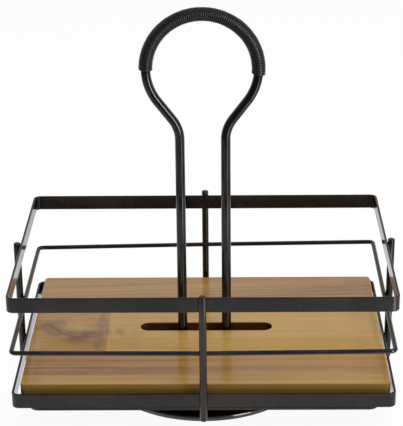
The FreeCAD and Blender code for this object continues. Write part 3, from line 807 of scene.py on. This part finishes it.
def startRound(radius, centre, normal, segments):
    # an open circle of edges, ready to be drawn along a wire's path
    shape = bmesh.new()
    bmesh.ops.create_circle(shape, segments=segments, radius=radius)
    turn = Vector((0, 0, 1)).rotation_difference(Vector(normal)).to_matrix()
    bmesh.ops.rotate(shape, cent=(0, 0, 0), matrix=turn, verts=shape.verts)
    bmesh.ops.translate(shape, vec=centre, verts=shape.verts)
    return shape, shape.edges[:]


def drawStraight(shape, edges, run, pieces):
    for step in range(pieces):
        made = bmesh.ops.extrude_edge_only(shape, edges=edges)["geom"]
        verts = [item for item in made if isinstance(item, bmesh.types.BMVert)]
        bmesh.ops.translate(shape, vec=Vector(run) / pieces, verts=verts)
        edges = [item for item in made if isinstance(item, bmesh.types.BMEdge)
                 and all(vert in verts for vert in item.verts)]
    return edges


def drawBend(shape, edges, centre, axis, angle, steps):
    verts = {vert for edge in edges for vert in edge.verts}
    made = bmesh.ops.spin(shape, geom=[*verts, *edges], cent=centre, axis=axis, angle=angle, steps=steps)
    return [item for item in made["geom_last"] if isinstance(item, bmesh.types.BMEdge)]


bar = {"thickness": 2.0 * mm, "corner": 6.0 * mm, "cornerSteps": 10, "edge": 0.6 * mm, "edgeSteps": 3}


def flatBand(node):
    low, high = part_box(node)
    shape = bmesh.new()
    bmesh.ops.create_cube(shape, size=1)
    bmesh.ops.scale(shape, vec=high - low, verts=shape.verts)
    bmesh.ops.translate(shape, vec=(low + high) / 2, verts=shape.verts)
    upright = [edge for edge in shape.edges if abs(edge.verts[0].co.z - edge.verts[1].co.z) > mm]
    bmesh.ops.bevel(shape, geom=upright, offset=bar["corner"], offset_type="OFFSET", affect="EDGES",
                    segments=bar["cornerSteps"], profile=0.5, material=-1)
    lids = [face for face in shape.faces if abs(face.normal.z) > math.cos(steep)]
    bmesh.ops.delete(shape, geom=lids, context="FACES_ONLY")
    band = finishPiece(f"{node}_bar", shape, node)
    wall = band.modifiers.new("wall", "SOLIDIFY")
    wall.thickness = bar["thickness"]
    wall.offset = -1
    wall.use_even_offset = True
    bevel = band.modifiers.new("rounding", "BEVEL")
    bevel.width = bar["edge"]
    bevel.segments = bar["edgeSteps"]
    bevel.limit_method = "ANGLE"
    bevel.angle_limit = steep
    bevel.harden_normals = True


wire = {"rail": 3.8 * mm, "railCorner": 6.0 * mm, "railTilt": 0.6, "railSegments": 24, "railPieces": 8,
        "cornerSteps": 8, "upright": 6.0 * mm, "uprightEnd": 0.8 * mm, "uprightSegments": 32,
        "uprightPieces": 6, "endSteps": 4,
        # how far the hand-bent rail stands above its plane at its left end, middle and right end
        "bowFront": (0.8 * mm, -1.7 * mm, -1.8 * mm), "bowBack": (-1.1 * mm, 0.0, 0.2 * mm)}


def bowAt(across, deep):
    # both from -1 to 1: left to right, and front to back
    left, middle, right = (front + (back - front) * (deep + 1) / 2
                           for front, back in zip(wire["bowFront"], wire["bowBack"]))
    return middle + (right - middle) * max(across, 0) + (left - middle) * max(-across, 0)


def middleRail():
    low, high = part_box("middle_rail")
    inset = wire["rail"] / 2
    turn = wire["railCorner"] - inset  # radius of the wire's axis round a corner
    halfX = high.x - inset - turn
    halfY = high.y - inset - turn
    shape, ends = startRound(inset, (halfX + turn, 0, 0), (0, 1, 0), wire["railSegments"])
    ends = drawStraight(shape, ends, (0, halfY, 0), wire["railPieces"] // 2)
    corners = [(halfX, halfY), (-halfX, halfY), (-halfX, -halfY), (halfX, -halfY)]
    runs = [(-2 * halfX, 0, 0), (0, -2 * halfY, 0), (2 * halfX, 0, 0), (0, halfY, 0)]
    for (x, y), run in zip(corners, runs):
        ends = drawBend(shape, ends, (x, y, 0), (0, 0, 1), math.pi / 2, wire["cornerSteps"])
        ends = drawStraight(shape, ends, run, wire["railPieces"])
    for vert in shape.verts:
        vert.co.z += bowAt(vert.co.x / high.x, vert.co.y / high.y)
    tilt = Matrix.Rotation(-math.radians(wire["railTilt"]), 3, "Y")
    bmesh.ops.rotate(shape, cent=(0, 0, 0), matrix=tilt, verts=shape.verts)
    bmesh.ops.translate(shape, vec=(0, 0, (low.z + high.z) / 2), verts=shape.verts)
    finishPiece("middle_rail_wire", shape, "middle_rail")


def uprightWire(node):
    low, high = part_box(node)
    middle = (low + high) / 2
    shape, bottom = startRound(wire["upright"] / 2, (middle.x, middle.y, low.z), (0, 0, 1),
                               wire["uprightSegments"])
    top = drawStraight(shape, bottom, (0, 0, high.z - low.z), wire["uprightPieces"])
    bmesh.ops.contextual_create(shape, geom=bottom)
    bmesh.ops.contextual_create(shape, geom=top)
    rims = [edge for edge in shape.edges if edge.calc_face_angle(0) > steep]
    bmesh.ops.bevel(shape, geom=rims, offset=wire["uprightEnd"], offset_type="OFFSET", affect="EDGES",
                    segments=wire["endSteps"], profile=0.5, material=-1)
    finishPiece(f"{node}_wire", shape, node, sharp=60)


def handleRod():
    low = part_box("handle_rod")[0]
    neck = math.radians(handle["neckAngle"])
    loop, bend, leg = handle["loop"], handle["neckBend"], handle["legSpacing"] / 2
    centre = handleCentre()
    neckTop = centre + Vector((-loop * math.cos(neck), 0, -loop * math.sin(neck)))
    bendTopX = -leg - bend * (1 - math.cos(neck))
    drop = (bendTopX - neckTop.x) / math.tan(neck)
    legTop = neckTop.z - drop - bend * math.sin(neck)
    shape, bottom = startRound(handle["rod"] / 2, (-leg, 0, low.z), (0, 0, 1), handle["segments"])
    ends = drawStraight(shape, bottom, (0, 0, legTop - low.z), handle["legPieces"])
    ends = drawBend(shape, ends, (-leg - bend, 0, legTop), (0, -1, 0), neck, handle["bendSteps"])
    ends = drawStraight(shape, ends, (neckTop.x - bendTopX, 0, drop), handle["neckPieces"])
    ends = drawBend(shape, ends, centre, (0, 1, 0), math.pi + 2 * neck, handle["loopSteps"])
    ends = drawStraight(shape, ends, (neckTop.x - bendTopX, 0, -drop), handle["neckPieces"])
    ends = drawBend(shape, ends, (leg + bend, 0, legTop), (0, -1, 0), neck, handle["bendSteps"])
    ends = drawStraight(shape, ends, (0, 0, low.z - legTop), handle["legPieces"])
    bmesh.ops.contextual_create(shape, geom=bottom)
    bmesh.ops.contextual_create(shape, geom=ends)
    finishPiece("handle_rod_bent", shape, "handle_rod")


grip = {"wide": 1.7 * mm, "thick": 1.9 * mm, "corner": 0.6 * mm, "cornerSteps": 3,
        "leftEnd": 181.5, "rightEnd": -6.5,  # degrees round the loop from +X
        "stepsPerTurn": 28, "uneven": 0.16, "lump": 3.2 * mm}


def gripWinding():
    # the lace is wound along Z first, each turn beside the last, then bent round the loop
    centre = handleCentre()
    start, end = math.radians(grip["leftEnd"]), math.radians(grip["rightEnd"])
    climb = handle["loop"] * (start - end) - grip["wide"]
    turns = math.ceil(climb / grip["wide"])
    pitch = climb / turns
    shape = bmesh.new()
    bmesh.ops.create_grid(shape, x_segments=1, y_segments=1, size=0.5)
    bmesh.ops.scale(shape, vec=(grip["thick"], grip["wide"], 1), verts=shape.verts)
    bmesh.ops.bevel(shape, geom=shape.verts[:], offset=grip["corner"], offset_type="OFFSET",
                    affect="VERTICES", segments=grip["cornerSteps"], profile=0.5, material=-1)
    bmesh.ops.rotate(shape, cent=(0, 0, 0), matrix=Matrix.Rotation(math.pi / 2, 3, "X"), verts=shape.verts)
    reach = handle["rod"] / 2 + grip["thick"] / 2
    bmesh.ops.translate(shape, vec=(reach, 0, grip["wide"] / 2), verts=shape.verts)
    bmesh.ops.rotate(shape, cent=(0, 0, 0), matrix=Matrix.Rotation(math.pi / 2, 3, "Z"), verts=shape.verts)
    bmesh.ops.delete(shape, geom=shape.faces[:], context="FACES_ONLY")
    steps = grip["stepsPerTurn"]
    bmesh.ops.spin(shape, geom=shape.verts[:] + shape.edges[:], cent=(0, 0, 0), axis=(0, 0, 1),
                   dvec=(0, 0, pitch / steps), angle=2 * math.pi, steps=steps)
    turn = shape.verts[:] + shape.edges[:] + shape.faces[:]
    for step in range(1, turns):
        copied = bmesh.ops.duplicate(shape, geom=turn)["geom"]
        verts = [item for item in copied if isinstance(item, bmesh.types.BMVert)]
        bmesh.ops.translate(shape, vec=(0, 0, step * pitch), verts=verts)
    bmesh.ops.remove_doubles(shape, verts=shape.verts, dist=mergeDistance)
    bmesh.ops.holes_fill(shape, edges=[edge for edge in shape.edges if edge.is_boundary], sides=0)
    for vert in shape.verts:
        out, side, along = vert.co
        lump = noise.noise(Vector((along, out, side)) / grip["lump"]) * 0.5 + 0.5
        off = math.hypot(out, side)
        pressed = 1 - grip["uneven"] * lump * (off - handle["rod"] / 2) / off  # the rod's side stays even
        angle = start - along / handle["loop"]
        radius = handle["loop"] + out * pressed
        vert.co = centre + Vector((radius * math.cos(angle), side * pressed, radius * math.sin(angle)))
    finishPiece("grip_cord_winding", shape, "grip_wrap", sharp=70)


foot = {"radius": 87.0, "sheet": 1.5, "stand": 1.5, "rim": 4.5, "shoulder": 2.4, "shoulderSteps": 8,
        "dish": 9.5, "slope": 36.0, "middle": 60.0, "pivot": 4.05, "steps": 180}


def footPan():
    # the pan's section in millimetres, spun round the axis
    top = foot["stand"] + foot["rim"]
    high = top + foot["dish"]
    sheet = foot["sheet"]
    slopeFoot = foot["middle"] + foot["dish"] / math.tan(math.radians(foot["slope"]))
    shift = sheet * math.tan(math.radians(foot["slope"] / 2))
    outline = [
        (foot["pivot"], high), (foot["middle"], high), (slopeFoot, top), (foot["radius"], top),
        (foot["radius"], foot["stand"]), (foot["radius"] - sheet, foot["stand"]),
        (foot["radius"] - sheet, top - sheet), (slopeFoot - shift, top - sheet),
        (foot["middle"] - shift, high - sheet), (foot["pivot"], high - sheet)]
    shape = bmesh.new()
    verts = [shape.verts.new((across * mm, 0, up * mm)) for across, up in outline]
    shape.faces.new(verts)
    shoulder = verts[outline.index((foot["radius"], top))]
    bmesh.ops.bevel(shape, geom=[shoulder], offset=foot["shoulder"] * mm, offset_type="OFFSET",
                    affect="VERTICES", segments=foot["shoulderSteps"], profile=0.5, material=-1)
    edges = shape.edges[:]
    bmesh.ops.delete(shape, geom=shape.faces[:], context="FACES_ONLY")
    bmesh.ops.spin(shape, geom=shape.verts[:] + edges, cent=(0, 0, 0), axis=(0, 0, 1), angle=2 * math.pi,
                   steps=foot["steps"], use_merge=True)
    finishPiece("foot_pan", shape, "foot_disc", sharp=40)


def mergedCopy(node, name):
    # the node's own shape, with its faces merged and its edges shaded round
    shape = bmesh.new()
    shape.from_mesh(nodes[node].data)
    piece = finishPiece(name, shape, node)
    piece.modifiers.new("shading", "WEIGHTED_NORMAL").keep_sharp = True


# the beads stand off the wire's middle, are sunk into it and are this much shorter than the bar is high
weld = {"radius": 1.15 * mm, "ripples": 5, "ripple": 0.16, "off": 2.35 * mm, "sunk": 0.55 * mm,
        "shorter": 1.2 * mm, "railBead": 0.75 * mm, "railLength": 3.4 * mm, "railOff": 1.75 * mm,
        "segmentsAround": 10, "segmentsAlong": 22}


def weldBead(shape, middle, radius, length, turn):
    # a spindle with ripples along it, laid into the corner between a wire and what it is welded to
    verts = bmesh.ops.create_uvsphere(shape, u_segments=weld["segmentsAround"],
                                      v_segments=weld["segmentsAlong"], radius=1)["verts"]
    for vert in verts:
        phase = math.acos(max(-1, min(1, vert.co.z))) * 2 * weld["ripples"]
        swell = 1 + weld["ripple"] * math.cos(phase)
        vert.co = Vector((vert.co.x * swell * radius, vert.co.y * swell * radius, vert.co.z * length / 2))
    bmesh.ops.rotate(shape, cent=(0, 0, 0), matrix=turn, verts=verts)
    bmesh.ops.translate(shape, vec=middle, verts=verts)


def uprightWelds(side, outward):
    # outward points from the basket to the upright; the beads stand each side of the wire
    outward = Vector(outward)
    along = Vector((-outward.y, outward.x, 0))
    low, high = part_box(f"{side}_upright")
    middle = (low + high) / 2
    seat = middle - outward * (wire["upright"] / 2 - weld["sunk"])
    upright = Matrix.Identity(3)
    level = along.to_track_quat("Z", "Y").to_matrix()
    shape = bmesh.new()
    for node in ("bottom_band", "top_band"):
        bottom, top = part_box(node)
        length = top.z - bottom.z - weld["shorter"]
        for hand in (-1, 1):
            spot = seat + along * hand * weld["off"]
            weldBead(shape, (spot.x, spot.y, (bottom.z + top.z) / 2), weld["radius"], length, upright)
    bottom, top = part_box("middle_rail")
    lean = (top.z - bottom.z - wire["rail"]) / 2 * outward.x  # the rail is higher at one end
    for hand in (-1, 1):
        height = (bottom.z + top.z) / 2 + lean + bowAt(outward.x, outward.y) + hand * weld["railOff"]
        weldBead(shape, (seat.x, seat.y, height), weld["railBead"], weld["railLength"], level)
    finishPiece(f"{side}_upright_welds", shape, f"{side}_upright", sharp=80, stands=False)


for node in ("bottom_band", "top_band"):
    flatBand(node)
middleRail()
for side in ("front", "back", "left", "right"):
    uprightWire(f"{side}_upright")
for side, outward in {"front": (0, -1, 0), "back": (0, 1, 0), "left": (-1, 0, 0), "right": (1, 0, 0)}.items():
    uprightWelds(side, outward)
handleRod()
gripWinding()
footPan()
mergedCopy("wood_board", "wood_board_planed")
mergedCopy("base_plate", "base_plate_sheet")
print("pieces built")


for name, node in nodes.items():
    node.data.materials.clear()
    node.data.materials.append(finishes[slotOf(name)])
print("frame nodes finished")
